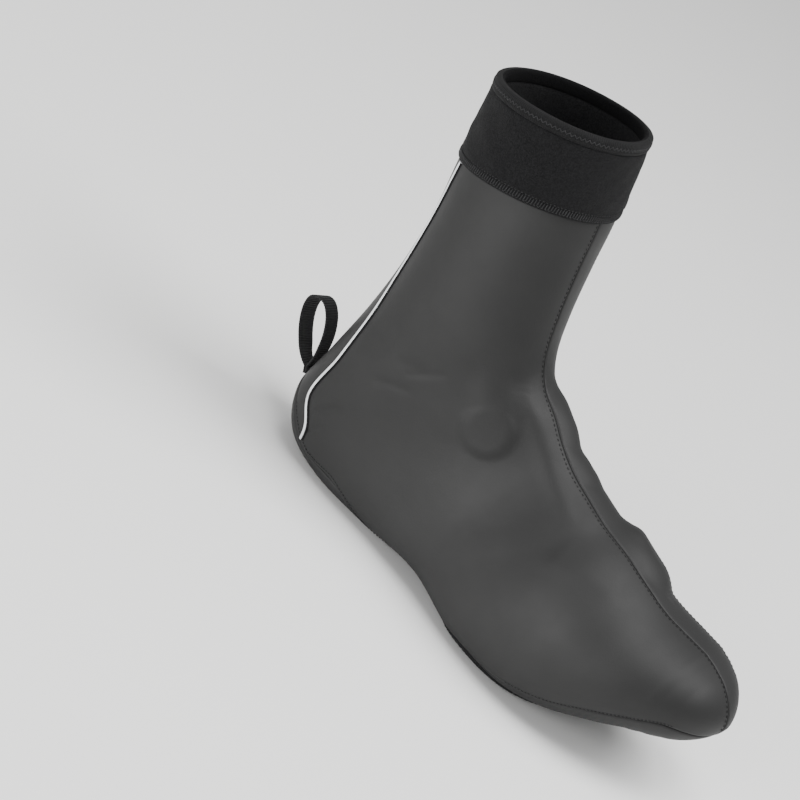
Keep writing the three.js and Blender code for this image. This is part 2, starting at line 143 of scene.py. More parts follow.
def plainPoints(u, angle):
    reach = capSoftness["reach"] * np.exp(-((u - lastRow) / capSoftness["width"]) ** 2)
    return (pointsAt(u - reach, angle) + 2 * pointsAt(u, angle) + pointsAt(u + reach, angle)) / 4


def normalsAt(u, angle):
    step = 0.02
    v = np.minimum(u, tip - step)
    along = plainPoints(v + step, angle) - plainPoints(v - step, angle)
    around = plainPoints(v, angle + step) - plainPoints(v, angle - step)
    n = np.cross(around, along)
    return n / np.linalg.norm(n, axis=1)[:, None]


def smoothstep(a, b, x):
    t = np.clip((x - a) / (b - a), 0, 1)
    return t * t * (3 - 2 * t)


# Smooth curve through a table's values
def tableAt(x, xs, ys):
    xs, ys = np.asarray(xs, float), np.asarray(ys, float)
    slope = np.gradient(ys, xs)
    x = np.clip(x, xs[0], xs[-1])
    i = np.clip(np.searchsorted(xs, x) - 1, 0, len(xs) - 2)
    h = xs[i + 1] - xs[i]
    t = (x - xs[i]) / h
    return ((2 * t ** 3 - 3 * t * t + 1) * ys[i] + (t ** 3 - 2 * t * t + t) * h * slope[i]
            + (3 * t * t - 2 * t ** 3) * ys[i + 1] + (t ** 3 - t * t) * h * slope[i + 1])


# What the covered shoe pushes out or leaves hollow. Mounds: row and angle in degrees of the middle, half
# lengths along and across, height in mm, the share of the radius that is flat on top, and, for one that
# meets the mound before it instead of lying on it, how softly they meet.
mounds = [
    {"at": (6.4, 50), "along": 16.5, "across": 16.5, "height": 2.3, "flat": 0.6},  # lace dial
    {"at": (5.55, 46), "along": 24, "across": 17, "height": 2.2, "flat": 0.15, "blend": 0.5},  # rises to the dial
    {"at": (7.9, 50), "along": 22, "across": 26, "height": -1.0, "flat": 0},  # hollow before the dial
    {"at": (6.1, -16), "along": 22, "across": 20, "height": 2.9, "flat": 0.25},  # tongue
    {"at": (8.1, -14), "along": 13, "across": 18, "height": 1.5, "flat": 0.2},  # lower lace guard
    {"at": (11.3, -18), "along": 25, "across": 24, "height": 3.4, "flat": 0.35},  # strap's end
    {"at": (10.2, 38), "along": 22, "across": 20, "height": -0.7, "flat": 0},  # beside the strap
    {"at": (4.4, 118), "along": 16, "across": 12, "height": -1.0, "flat": 0.1},  # over the heel cup
]
# Creases: points as rows and angles, half width and height of the ridge, and the step's height to the side
# of smaller angles, all in mm
creases = [
    {"path": [(4.7, 32), (5.3, 28), (6.2, 27), (7.0, 28), (7.9, 30), (8.7, 32), (9.5, 35), (10.1, 39)],
     "half": 5.0, "ridge": 0.9, "step": 1.0, "reach": 15},  # edge of the throat
    {"path": [(10.3, 56), (10.7, 50), (11.1, 44), (11.6, 38), (12.1, 33)],
     "half": 4.5, "ridge": 0.15, "step": 0.8, "reach": 20},  # edge of the toe box
    {"path": [(10.35, -40), (10.42, -28), (10.5, -14), (10.6, 2)],
     "half": 2.6, "ridge": 0, "step": 1.0, "reach": 10},  # near edge of the strap
    {"path": [(12.35, -44), (12.4, -30), (12.45, -15), (12.5, 0)],
     "half": 3.0, "ridge": 0, "step": -0.9, "reach": 9},  # far edge of the strap
    {"path": [(6.5, 129), (6.4, 123), (6.3, 116), (6.2, 108)], "half": 1.5, "ridge": -0.8, "step": 0, "reach": 8},
    {"path": [(6.95, 131), (6.85, 124), (6.72, 116)], "half": 1.4, "ridge": -0.6, "step": 0, "reach": 8},
    {"path": [(6.25, 129), (6.1, 122), (5.9, 115)], "half": 2.2, "ridge": 0.35, "step": 0, "reach": 8},
    {"path": [(5.0, 90), (4.95, 84), (4.85, 76), (4.75, 68)], "half": 1.6, "ridge": -0.4, "step": 0, "reach": 8},
    {"path": [(5.3, 104), (5.35, 92), (5.5, 80)], "half": 2.2, "ridge": -0.5, "step": 0, "reach": 8},
    {"path": [(4.7, 100), (4.75, 88), (4.95, 74)], "half": 3.0, "ridge": -0.4, "step": 0, "reach": 8},
    {"path": [(5.3, 256), (5.35, 268), (5.5, 280)], "half": 2.4, "ridge": -0.5, "step": 0, "reach": 8},
    {"path": [(4.6, 260), (4.7, 272), (4.9, 287)], "half": 3.0, "ridge": -0.4, "step": 0, "reach": 8},
    {"path": [(6.6, 240), (6.4, 246), (6.25, 252)], "half": 1.3, "ridge": -0.5, "step": 0, "reach": 8},
]


def tangentsAt(u, angle):
    step = 0.05
    along = plainPoints(u + step, angle) - plainPoints(u - step, angle)
    along /= np.linalg.norm(along, axis=1)[:, None]
    out = normalsAt(u, angle)
    return along, np.cross(out, along), out


def reliefAt(points, out):
    rise = np.zeros(len(points))
    for m in mounds:
        u, angle = np.array([m["at"][0]], float), np.radians([m["at"][1]])
        centre = plainPoints(u, angle)[0]
        along, across, up = (v[0] for v in tangentsAt(u, angle))
        r = np.hypot((points - centre) @ along / m["along"], (points - centre) @ across / m["across"])
        r = np.clip((r - m["flat"]) / (1 - m["flat"]), 0, 1)
        bump = np.where(out @ up > 0, m["height"] * (1 - r * r) ** 2, 0)
        if "blend" in m:
            bump = (bump - rise + np.hypot(bump - rise, m["blend"]) - m["blend"]) / 2
        rise += bump
    for c in creases:
        t = np.arange(len(c["path"]))
        fine = np.linspace(0, t[-1], 12 * len(t))
        u = tableAt(fine, t, [p[0] for p in c["path"]])
        angle = np.radians(tableAt(fine, t, [p[1] for p in c["path"]]))
        line, (_, _, up) = plainPoints(u, angle), tangentsAt(u, angle)
        near = np.where(np.linalg.norm(points - line[len(line) // 2], axis=1) < 90)[0]
        apart = points[near][:, None] - line[None]
        k = np.linalg.norm(apart, axis=2).argmin(1)
        off = apart[np.arange(len(near)), k]
        run = np.gradient(line, axis=0)
        run /= np.linalg.norm(run, axis=1)[:, None]
        side = np.einsum("ij,ij->i", off, np.cross(up, run)[k])
        far = np.linalg.norm(off, axis=1)
        fade = smoothstep(0, 0.22, fine[k] / t[-1]) * smoothstep(0, 0.22, 1 - fine[k] / t[-1])
        bend = c["ridge"] * np.exp(-(far / c["half"]) ** 2)
        bend += c["step"] * 0.5 * (1 + np.tanh(side / c["half"])) * np.exp(-(far / c["reach"]) ** 2)
        rise[near] += np.where(np.einsum("ij,ij->i", out[near], up[k]) > 0, bend * fade, 0)
    return rise


def surfaceAt(u, angle, outside=0.0):
    points, out = plainPoints(u, angle), normalsAt(u, angle)
    placed = points + out * (outside + reliefAt(points, out))[:, None]
    placed[:, 2] = np.maximum(placed[:, 2], np.maximum(-np.asarray(outside), 0))
    return placed, out


print("form ready")

# Seams. Front strip: its two edges, in mm to the outer and inner side of the top line, by row.
seams = {
    "frontRow": [0, 1, 2, 3, 4, 5, 6, 7, 8, 9, 10, 11, 12, 13, 14, 15, 16],
    "frontLateral": [9.6, 8.1, 7.0, 5.5, 4.9, 4.7, 6.3, 7.9, 9.1, 10.1, 10.7, 10.5, 9.4, 7.5, 5.8, 4.8, 4.2],
    "frontMedial": [15, 15, 15, 16, 17, 18.5, 19, 18.5, 18, 17.5, 17, 17, 17.5, 18.5, 19.5, 20.5, 21],
    "pipingRow": [1, 2, 3, 4, 5, 6, 7.1, 7.5],  # piping's distance from the middle of the back
    "piping": [25.4, 23.4, 23.0, 25.2, 28.0, 27.6, 26.8, 20.0],
    "pipingEnd": 7.12,
    "toeRow": [12, 13, 14, 15, 15.2, 15.4, 15.6],  # toe seam between the sole line, 0, and the widest line, 1
    "toe": [0.29, 0.46, 0.58, 0.64, 0.79, 0.74, 0.5],
    "stripAlong": [0, 0.13, 0.4, 0.75, 1],  # strip from the heel's turn, 0, to the middle of the opening, 1
    "stripHalf": [0.45, 0.5, 0.36, 0.32, 0.34],  # its half width as a share of its width
    "edge": 0.1,  # each panel stops this far from its seam
}


def frontField(u, angle, p):
    side = p[:, 1] - sectionsAt(u)["shift"]
    lateral = tableAt(u, seams["frontRow"], seams["frontLateral"])
    medial = tableAt(u, seams["frontRow"], seams["frontMedial"])
    inside = np.minimum(side + lateral, medial - side)
    return np.where((np.cos(angle) > 0) | (u > lastRow), inside, -10)


def backField(u, angle, p):
    inside = tableAt(u, seams["pipingRow"], seams["piping"]) - np.abs(p[:, 1] - sectionsAt(u)["shift"])
    return np.where((np.cos(angle) < 0) & (u < seams["pipingRow"][-1]), inside, -10)


toeSections = sectionsAt(np.array(seams["toeRow"], float))
toeLine = toeSections["centre"] + toeSections["sole"] * (1 - np.array(seams["toe"]))[:, None]


def toeField(u, angle, p):
    under = tableAt(p[:, 0], toeLine[:, 0], toeLine[:, 1]) - p[:, 2]
    return np.where(p[:, 0] > form["openingCentre"], under, -10)


soleDepth = 0.18 * form["instepHeight"]
stripTurn = -0.25 * form["heelSetback"]


def stripField(u, angle, p):
    x, y, z = p.T
    along = np.clip((x - stripTurn) / (form["openingCentre"] - stripTurn), 0, 1)
    width = form["stripWidth"] * tableAt(along, seams["stripAlong"], seams["stripHalf"])
    under = width - np.abs(y - form["openingAside"] * along)
    top, half = form["stripTop"], form["stripWidth"] * seams["stripHalf"][0]
    narrow = half + (form["stripTopWidth"] / 2 - half) * np.clip((z - 0.15 * top) / (0.85 * top), 0, 1) ** 1.9
    tongue = np.minimum(narrow - np.abs(y), top - z)
    return np.where(x < stripTurn, tongue, np.where(z < soleDepth, under, -10))


def openingField(extra):
    def field(u, angle, p):
        a, b = form["openingLength"] / 2 + extra, form["openingWidth"] / 2 + extra
        r = np.hypot((p[:, 0] - form["openingCentre"]) / a, (p[:, 1] - form["openingAside"]) / b)
        return np.where(p[:, 2] < soleDepth, (1 - r) * (a + b) / 2, -10)
    return field


ringField = openingField(form["ringWidth"])


# A net of triangles over the form between two rows and two angles, about one step apart
def netOver(rowFrom, rowTo, angleFrom, angleTo, step):
    fine = np.linspace(rowFrom, min(rowTo, tip - 0.004), 1500)
    run = sum(np.linalg.norm(np.diff(plainPoints(fine, np.full_like(fine, a)), axis=0), axis=1)
              for a in (0, math.pi / 2, math.pi)) / 3
    length = np.concatenate([[0], np.cumsum(run)])
    us = np.interp(np.linspace(0, length[-1], int(length[-1] / step) + 2), length, fine)
    around = int(abs(angleTo - angleFrom) / (2 * math.pi) * 270 / step) + 2
    angles = np.linspace(angleFrom, angleTo, around)
    u, angle = (g.ravel() for g in np.meshgrid(us, angles, indexing="ij"))
    i, j = (g.ravel() for g in np.meshgrid(np.arange(len(us) - 1), np.arange(around - 1), indexing="ij"))
    a = i * around + j
    tris = np.concatenate([np.stack([a, a + 1, a + around], 1), np.stack([a + 1, a + around + 1, a + around], 1)])
    return u, angle, tris


# Cuts the net along the line where the field has the given level, and keeps what lies above it, or all
def cutNet(net, field, level, keepAll=False):
    u, angle, tris = net
    f = field(u, angle, plainPoints(u, angle)) - level
    f = np.where(np.abs(f) < 1e-4, 1e-4, f)
    inside = f > 0
    count = inside[tris].sum(1)
    whole, mixed = tris[count == 3], tris[(count == 1) | (count == 2)]
    outside = tris[count == 0]
    odd = inside[mixed].sum(1) == 1
    first = (inside[mixed] == odd[:, None]).argmax(1)
    n = np.arange(len(mixed))
    o, b, c = mixed[n, first], mixed[n, (first + 1) % 3], mixed[n, (first + 2) % 3]
    size = len(u)
    keys = np.concatenate([np.minimum(o, b) * size + np.maximum(o, b), np.minimum(o, c) * size + np.maximum(o, c)])
    edges, which = np.unique(keys, return_inverse=True)
    e0, e1 = edges // size, edges % size
    t = f[e0] / (f[e0] - f[e1])
    u = np.concatenate([u, u[e0] + (u[e1] - u[e0]) * t])
    angle = np.concatenate([angle, angle[e0] + (angle[e1] - angle[e0]) * t])
    m1, m2 = size + which[:len(mixed)], size + which[len(mixed):]
    corner = np.stack([o, m1, m2], 1)
    rest = np.stack([m1, b, c, m1, c, m2], 1)
    kept = [whole, corner[odd], rest[~odd].reshape(-1, 3)]
    if keepAll:
        kept += [outside, corner[~odd], rest[odd].reshape(-1, 3)]
    return dropLoose(u, angle, np.concatenate(kept))


def dropLoose(u, angle, tris):
    used, again = np.unique(tris, return_inverse=True)
    return u[used], angle[used], again.reshape(-1, 3)


def minus(field):
    return lambda u, angle, p: -field(u, angle, p)


# Panel: the net cut to its seams, with lines of points beside each seam for the rolled edge
def cutPanel(net, fields, rollLines=(0.3, 0.7, 1.3, 2.4)):
    for field in fields:
        net = cutNet(net, field, seams["edge"])
        for line in rollLines:
            net = cutNet(net, field, seams["edge"] + line, keepAll=True)
    return net


def boundaryEdges(tris):
    edges = np.concatenate([tris[:, [0, 1]], tris[:, [1, 2]], tris[:, [2, 0]]])
    keys = np.sort(edges, 1)
    _, index, count = np.unique(keys[:, 0] * (tris.max() + 1) + keys[:, 1], return_index=True, return_counts=True)
    return edges[index[count == 1]]


# Closed sheet on the form: outer face with its edges rolled in, inner face one wall below
def sheetFrom(name, net, look, proud=0.0, roll=(1.5, 0.75), wall=None, lining=None, ripple=None):
    u, angle, tris = net
    wall = form["wall"] if wall is None else wall
    points = plainPoints(u, angle)
    edges = boundaryEdges(tris)
    tree = KDTree(len(edges) * 3)
    for k, (a, b) in enumerate(edges):
        for s in range(3):
            tree.insert(points[a] + (points[b] - points[a]) * s / 3, k * 3 + s)
    tree.balance()
    far = np.array([tree.find(p)[2] for p in points])
    width, depth = roll
    dip = depth * (1 - np.minimum(far / width, 1)) ** 2
    high = proud - dip + (ripple(points, far) if ripple else 0)
    outer, _ = surfaceAt(u, angle, high)
    inner, _ = surfaceAt(u, angle, np.full(len(u), -wall))
    outer[:, 2] = np.maximum(outer[:, 2], 0)
    n = len(u)
    a, b = edges[:, 0], edges[:, 1]
    rim = np.concatenate([np.stack([b, a, a + n], 1), np.stack([b, a + n, b + n], 1)])
    faces = np.concatenate([tris, tris[:, ::-1] + n, rim])
    lined = np.concatenate([np.zeros(len(tris), int), np.ones(len(tris), int), np.zeros(len(rim), int)])
    return meshPiece(name, np.concatenate([outer, inner]), faces, [look, lining or look], lined)


def meshPiece(name, points, faces, looks, lookOf=None, smooth=True):
    mesh = bpy.data.meshes.new(name)
    mesh.from_pydata((np.asarray(points) * mm).tolist(), [], [list(map(int, f)) for f in faces])
    for look in looks:
        mesh.materials.append(look)
    if lookOf is not None:
        mesh.polygons.foreach_set("material_index", np.asarray(lookOf, np.int32))
    mesh.polygons.foreach_set("use_smooth", [smooth] * len(mesh.polygons))
    mesh.update()
    piece = bpy.data.objects.new(name, mesh)
    bpy.context.scene.collection.objects.link(piece)
    return piece


# Grid of faces over points [rings, around], closed around and, where asked, from the last ring back to the first
def gridFaces(rings, around, closeRings=False, closeAround=True):
    faces = []
    for i in range(rings if closeRings else rings - 1):
        for j in range(around if closeAround else around - 1):
            a, b = i * around + j, i * around + (j + 1) % around
            c, d = ((i + 1) % rings) * around + j, ((i + 1) % rings) * around + (j + 1) % around
            faces.append((a, b, d, c))
    return faces


# Materials
def linear(hexColour):
    channels = [int(hexColour[i:i + 2], 16) / 255 for i in (1, 3, 5)]
    return [c / 12.92 if c <= 0.04045 else ((c + 0.055) / 1.055) ** 2.4 for c in channels] + [1]


def addNode(tree, kind, settings=None, values=None, links=None):
    node = tree.nodes.new(kind)
    for key, value in (settings or {}).items():
        setattr(node, key, value)
    for key, value in (values or {}).items():
        node.inputs[key].default_value = value
    for key, source in (links or {}).items():
        tree.links.new(source, node.inputs[key])
    return node


def startMaterial(name):
    material = bpy.data.materials.new(name)
    material.use_nodes = True
    tree = material.node_tree
    return material, tree, tree.nodes["Principled BSDF"]


# Two colours mixed by a wide, faint noise: cloth is never quite even
def mottle(tree, coords, low, high, sizeMm, detail=3, spread=0.2):
    noise = addNode(tree, "ShaderNodeTexNoise", values={"Scale": 1 / (sizeMm * mm), "Detail": detail},
                    links={"Vector": coords})
    ramp = addNode(tree, "ShaderNodeValToRGB", links={"Fac": noise.outputs["Fac"]})
    ramp.color_ramp.elements[0].position, ramp.color_ramp.elements[1].position = 0.5 - spread, 0.5 + spread
    ramp.color_ramp.elements[0].color, ramp.color_ramp.elements[1].color = linear(low), linear(high)
    return ramp.outputs["Color"]


def addBump(tree, height, distanceMm, strength, under=None):
    links = {"Height": height}
    if under:
        links["Normal"] = under
    return addNode(tree, "ShaderNodeBump", values={"Distance": distanceMm * mm, "Strength": strength},
                   links=links).outputs["Normal"]


# Stretch knit with a rubbery polyurethane coat: matte with a broad soft shine and a fine pebbled skin
def coatedKnit(name, low, high, roughness, pebbleMm):
    material, tree, shader = startMaterial(name)
    coords = addNode(tree, "ShaderNodeTexCoord").outputs["Object"]
    tree.links.new(mottle(tree, coords, low, high, 38), shader.inputs["Base Color"])
    pebble = addNode(tree, "ShaderNodeTexVoronoi", {"feature": "SMOOTH_F1"},
                     {"Scale": 1 / (pebbleMm * mm), "Smoothness": 0.6}, {"Vector": coords})
    wide = addNode(tree, "ShaderNodeTexNoise", values={"Scale": 1 / (9 * mm), "Detail": 4},
                   links={"Vector": coords})
    fine = addBump(tree, pebble.outputs["Distance"], 0.05, 0.35)
    tree.links.new(addBump(tree, wide.outputs["Fac"], 0.5, 0.2, fine), shader.inputs["Normal"])
    spread = addNode(tree, "ShaderNodeMapRange", values={"To Min": roughness - 0.04, "To Max": roughness + 0.05},
                     links={"Value": wide.outputs["Fac"]})
    tree.links.new(spread.outputs["Result"], shader.inputs["Roughness"])
    shader.inputs["Specular IOR Level"].default_value = 0.25
    return material


# Brushed polyester fleece: no shine, a short nap that lifts light at the edges, uneven tufts
def brushedFleece(name, low, high, tuftMm, sheen):
    material, tree, shader = startMaterial(name)
    coords = addNode(tree, "ShaderNodeTexCoord").outputs["Object"]
    tree.links.new(mottle(tree, coords, low, high, tuftMm / 3, 4, 0.14), shader.inputs["Base Color"])
    tufts = addNode(tree, "ShaderNodeTexNoise", values={"Scale": 1 / (tuftMm * mm), "Detail": 6, "Roughness": 0.7},
                    links={"Vector": coords})
    fibres = addNode(tree, "ShaderNodeTexNoise", values={"Scale": 1 / (0.8 * mm), "Detail": 3, "Distortion": 1.5},
                     links={"Vector": coords})
    fine = addBump(tree, fibres.outputs["Fac"], 0.9, 0.8)
    tree.links.new(addBump(tree, tufts.outputs["Fac"], 1.0, 0.5, fine), shader.inputs["Normal"])
    shader.inputs["Roughness"].default_value = 0.95
    shader.inputs["Sheen Weight"].default_value = sheen
    shader.inputs["Sheen Roughness"].default_value = 0.5
    shader.inputs["Specular IOR Level"].default_value = 0.12
    return material


# Woven polyester in ribs across the tape, from the piece's own map: v runs along it, in mm
def ribbedWeave(name, low, high, ribMm, sheen=0.15):
    material, tree, shader = startMaterial(name)
    place = addNode(tree, "ShaderNodeUVMap", {"uv_map": "along"}).outputs["UV"]
    coords = addNode(tree, "ShaderNodeTexCoord").outputs["Object"]
    tree.links.new(mottle(tree, coords, low, high, 5), shader.inputs["Base Color"])
    split = addNode(tree, "ShaderNodeSeparateXYZ", links={"Vector": place})
    phase = addNode(tree, "ShaderNodeMath", {"operation": "MULTIPLY"}, {1: 2 * math.pi / ribMm},
                    {0: split.outputs["Y"]})
    wave = addNode(tree, "ShaderNodeMath", {"operation": "SINE"}, links={0: phase.outputs[0]})
    threads = addNode(tree, "ShaderNodeTexNoise", values={"Scale": 1 / (0.5 * mm), "Detail": 2},
                      links={"Vector": coords})
    fine = addBump(tree, threads.outputs["Fac"], 0.12, 0.5)
    tree.links.new(addBump(tree, wave.outputs[0], 0.15, 0.7, fine), shader.inputs["Normal"])
    shader.inputs["Roughness"].default_value = 0.85
    shader.inputs["Specular IOR Level"].default_value = 0.25
    shader.inputs["Sheen Weight"].default_value = sheen
    return material


# Glass-beaded reflective film: silver grey, satin, with a fine grain
def beadedFilm(name, colour):
    material, tree, shader = startMaterial(name)
    coords = addNode(tree, "ShaderNodeTexCoord").outputs["Object"]
    tree.links.new(mottle(tree, coords, colour, "#e9ebec", 7), shader.inputs["Base Color"])
    beads = addNode(tree, "ShaderNodeTexVoronoi", values={"Scale": 1 / (0.45 * mm)}, links={"Vector": coords})
    tree.links.new(addBump(tree, beads.outputs["Distance"], 0.04, 0.5), shader.inputs["Normal"])
    shader.inputs["Roughness"].default_value = 0.38
    shader.inputs["Metallic"].default_value = 0.25
    return material


# Spun polyester thread: a tight twist, slightly glossy
def spunThread(name, low, high):
    material, tree, shader = startMaterial(name)
    coords = addNode(tree, "ShaderNodeTexCoord").outputs["Object"]
    tree.links.new(mottle(tree, coords, low, high, 2), shader.inputs["Base Color"])
    twist = addNode(tree, "ShaderNodeTexWave", values={"Scale": 1 / (1.2 * mm), "Distortion": 1.5},
                    links={"Vector": coords})
    tree.links.new(addBump(tree, twist.outputs["Fac"], 0.08, 0.5), shader.inputs["Normal"])
    shader.inputs["Roughness"].default_value = 0.6
    shader.inputs["Specular IOR Level"].default_value = 0.3
    return material


looks = {
    "upper": coatedKnit("coatedKnitUpper", "#202020", "#242424", 0.55, 0.9),
    "sole": coatedKnit("coatedKnitSole", "#1f1f1f", "#242424", 0.6, 1.1),
    # The lining's near-black colour is partly the fleece's own dark colour and partly painted shade for the inside
    # of the collar
    "lining": brushedFleece("brushedFleeceLiningWithPaintedShade", "#040405", "#070708", 2.2, 0.01),
    "cuff": brushedFleece("brushedFleeceCuff", "#0c0c0d", "#1a1a1b", 2.4, 0.03),
    "binding": ribbedWeave("ribbedElasticBinding", "#060607", "#0d0d0e", 1.1, 0.01),
    "tape": ribbedWeave("ribbedPolyesterTape", "#161617", "#202021", 1.35, 0.06),
    "piping": beadedFilm("beadedReflectiveFilm", "#d4d6d8"),
    "flange": ribbedWeave("wovenPipingFlange", "#08080a", "#0e0e0f", 0.8, 0.0),
    "thread": spunThread("spunPolyesterThread", "#1b1b1c", "#252526"),
    "darkThread": spunThread("spunPolyesterThreadBlack", "#060607", "#0b0b0c"),
}
print("materials ready")

# Upper: four sewn panels
panel = {"step": 1.45, "firstRow": 1 - form["hemHeight"] / form["cuffHeight"], "roll": (1.2, 0.5)}


def makeUpper():
    start, step = panel["firstRow"], panel["step"]
    aboveToe = minus(toeField)
    around = netOver(start, tip, -math.pi, math.pi, step)
    pieces = [sheetFrom("frontStrip", cutPanel(around, [frontField, aboveToe]), looks["upper"],
                        proud=0.12, roll=panel["roll"], lining=looks["lining"])]
    sides = {"lateralPanel": (0, math.pi), "medialPanel": (math.pi, 2 * math.pi)}
    for name, (a, b) in sides.items():
        net = netOver(start, tip, a, b, step)
        net = cutPanel(net, [minus(frontField), minus(backField), aboveToe, minus(ringField), minus(stripField)])
        pieces.append(sheetFrom(name, net, looks["upper"], roll=panel["roll"], lining=looks["lining"]))
    back = cutPanel(netOver(start, 9, math.pi / 2, 3 * math.pi / 2, step), [backField, minus(stripField)])
    pieces.append(sheetFrom("backPanel", back, looks["upper"], roll=panel["roll"], lining=looks["lining"]))
    for piece in pieces:
        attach(piece, "root")
        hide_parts("upper")
    print("upper made")


makeUpper()


# Sole: toe panel and heel strip, whose edge is folded deeper
sole = {"roll": (1.7, 1.0)}


def makeSole():
    step = panel["step"]
    around = netOver(11, tip, 0, 2 * math.pi, step)
    toe = cutPanel(around, [toeField, minus(ringField)])
    piece = sheetFrom("toeSolePanel", toe, looks["sole"], roll=panel["roll"], lining=looks["lining"])
    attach(piece, "root")
    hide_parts("toe_sole_panel")
    under = netOver(5, 13, math.pi / 2, 3 * math.pi / 2, step)
    strip = cutPanel(under, [stripField, minus(ringField)])
    piece = sheetFrom("heelSoleStrip", strip, looks["sole"], proud=0.35, roll=sole["roll"],
                      lining=looks["lining"])
    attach(piece, "root")
    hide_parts("heel_sole_strip")
    print("sole made")


makeSole()


# A strip swept along a path on the form: profile points are (across, outside) in mm, closed
def sweepOnForm(name, u, angle, across, profile, lookList, lookOf, closed, floor=0.0):
    place, out = surfaceAt(u, angle)
    run = np.gradient(place, axis=0) if not closed else np.roll(place, -1, 0) - np.roll(place, 1, 0)
    run /= np.linalg.norm(run, axis=1)[:, None]
    side = np.cross(out, run)
    side /= np.linalg.norm(side, axis=1)[:, None]
    rings = [place + side * (a * across) + out * h for a, h in profile]
    points = np.stack(rings, 1)
    points[:, :, 2] = np.maximum(points[:, :, 2], floor)
    n, m = len(u), len(profile)
    faces = gridFaces(n, m, closeRings=closed)
    index = [lookOf[j % m] for _ in range(n if closed else n - 1) for j in range(m)]
    if not closed:
        faces += [tuple(range(m))[::-1], tuple((n - 1) * m + j for j in range(m))]
        index += [0, 0]
    piece = meshPiece(name, points.reshape(-1, 3), faces, lookList, index)
    length = np.concatenate([[0], np.cumsum(np.linalg.norm(np.diff(place, axis=0), axis=1))])
    addAlong(piece, np.repeat(length, m))
    return piece


# The piece's own map: v is the distance along it in mm
def addAlong(piece, length):
    layer = piece.data.uv_layers.new(name="along")
    corner = np.zeros(len(piece.data.loops), np.int32)
    piece.data.loops.foreach_get("vertex_index", corner)
    layer.data.foreach_set("uv", np.stack([np.zeros(len(corner)), length[corner]], 1).ravel())


# The angle on the back and sole half where the form is y to the outer side of its middle
def angleAtWidth(u, y):
    s = sectionsAt(u)
    share = np.minimum(np.abs(y) / np.where(y > 0, s["lateral"], s["medial"]), 0.999)
    return math.pi - np.sign(y) * np.arctan2(share, (1 - share ** s["under"]) ** (1 / s["under"]))


# The same on the top half
def angleOnTop(u, y):
    s = sectionsAt(u)
    share = np.minimum(np.abs(y) / np.where(y > 0, s["lateral"], s["medial"]), 0.999)
    return np.sign(y) * np.arctan2(share, (1 - share ** s["over"]) ** (1 / s["over"]))


# Piping: a round reflective bead between two dark flanges, in mm
piping = {"bead": 0.85, "flange": 1.75, "high": 1.15, "base": 0.55, "steps": 170}


def makePiping(name, node, side):
    u = np.linspace(1 + 0.02, seams["pipingEnd"], piping["steps"])
    offset = tableAt(u, seams["pipingRow"], seams["piping"])
    angle = angleAtWidth(u, side * offset)
    b, f, low, high = piping["bead"], piping["flange"], piping["base"], piping["high"]
    profile = [(f, -0.4), (f, low * 0.6), (b * 1.05, low)]
    profile += [(b * math.cos(t), low + (high - low) * math.sin(t)) for t in np.linspace(0.25, math.pi - 0.25, 9)]
    profile += [(-b * 1.05, low), (-f, low * 0.6), (-f, -0.4)]
    lookOf = [1, 1, 1] + [0] * 8 + [1, 1, 1, 1]
    piece = sweepOnForm(name, u, angle, 1, profile, [looks["piping"], looks["flange"]], lookOf, False)
    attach(piece, "root")
    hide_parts(node)


makePiping("pipingLateral", "piping_lateral", 1)
makePiping("pipingMedial", "piping_medial", -1)
print("piping made")

# Cuff: a thick fleece band with a lapped hem, and an elastic binding over its rim
cuff = {"around": 300}


def bandPiece(name, section, around, looksUsed, wobble=None, lookOf=None):
    angle = np.linspace(0, 2 * math.pi, around, endpoint=False)
    rings = []
    for u, outside in section:
        lift = outside + (wobble(u, angle, outside) if wobble else 0)
        rings.append(surfaceAt(np.full(around, u), angle, np.broadcast_to(lift, (around,)))[0])
    points = np.stack(rings, 1)
    n, m = around, len(section)
    faces = [f[::-1] for f in gridFaces(n, m, closeRings=True)]
    piece = meshPiece(name, points.reshape(-1, 3), faces, looksUsed, None if lookOf is None else lookOf * n)
    length = np.concatenate([[0], np.cumsum(np.linalg.norm(np.diff(points[:, 1], axis=0), axis=1))])
    addAlong(piece, np.repeat(length, m))
    return piece


def rowsUp(height):
    return height / form["cuffHeight"]


